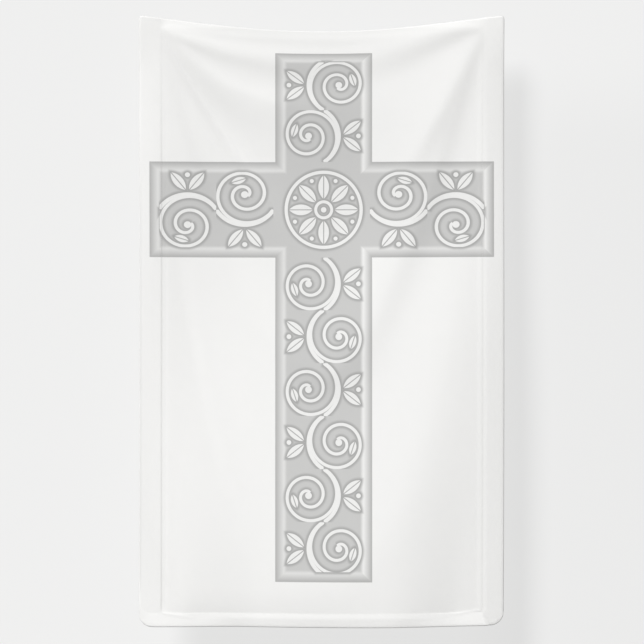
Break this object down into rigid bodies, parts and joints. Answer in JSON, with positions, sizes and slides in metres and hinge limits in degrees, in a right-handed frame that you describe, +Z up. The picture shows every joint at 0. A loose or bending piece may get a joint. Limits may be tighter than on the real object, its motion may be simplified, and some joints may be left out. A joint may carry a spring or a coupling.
{
  "type": "church banner",
  "caption": "White cloth wall banner printed with a tall grey cross, hems at its sides and foot, hung by its two upper corners so that it falls in soft swags.",
  "frame": {"origin": "on the back of the cloth, in the middle of the sagging top edge", "axes": "+Z up along the banner's length, +X across its width to the right as seen from the front, +Y from the printed face to the back"},
  "size_m": [0.9144, 0.0587, 1.5278],
  "materials": {
    "woven_polyester": "matt plain weave, white, with a grey print"
  },
  "bodies": {
    "root": {"banner_cloth": "woven_polyester"}
  },
  "joints": []
}
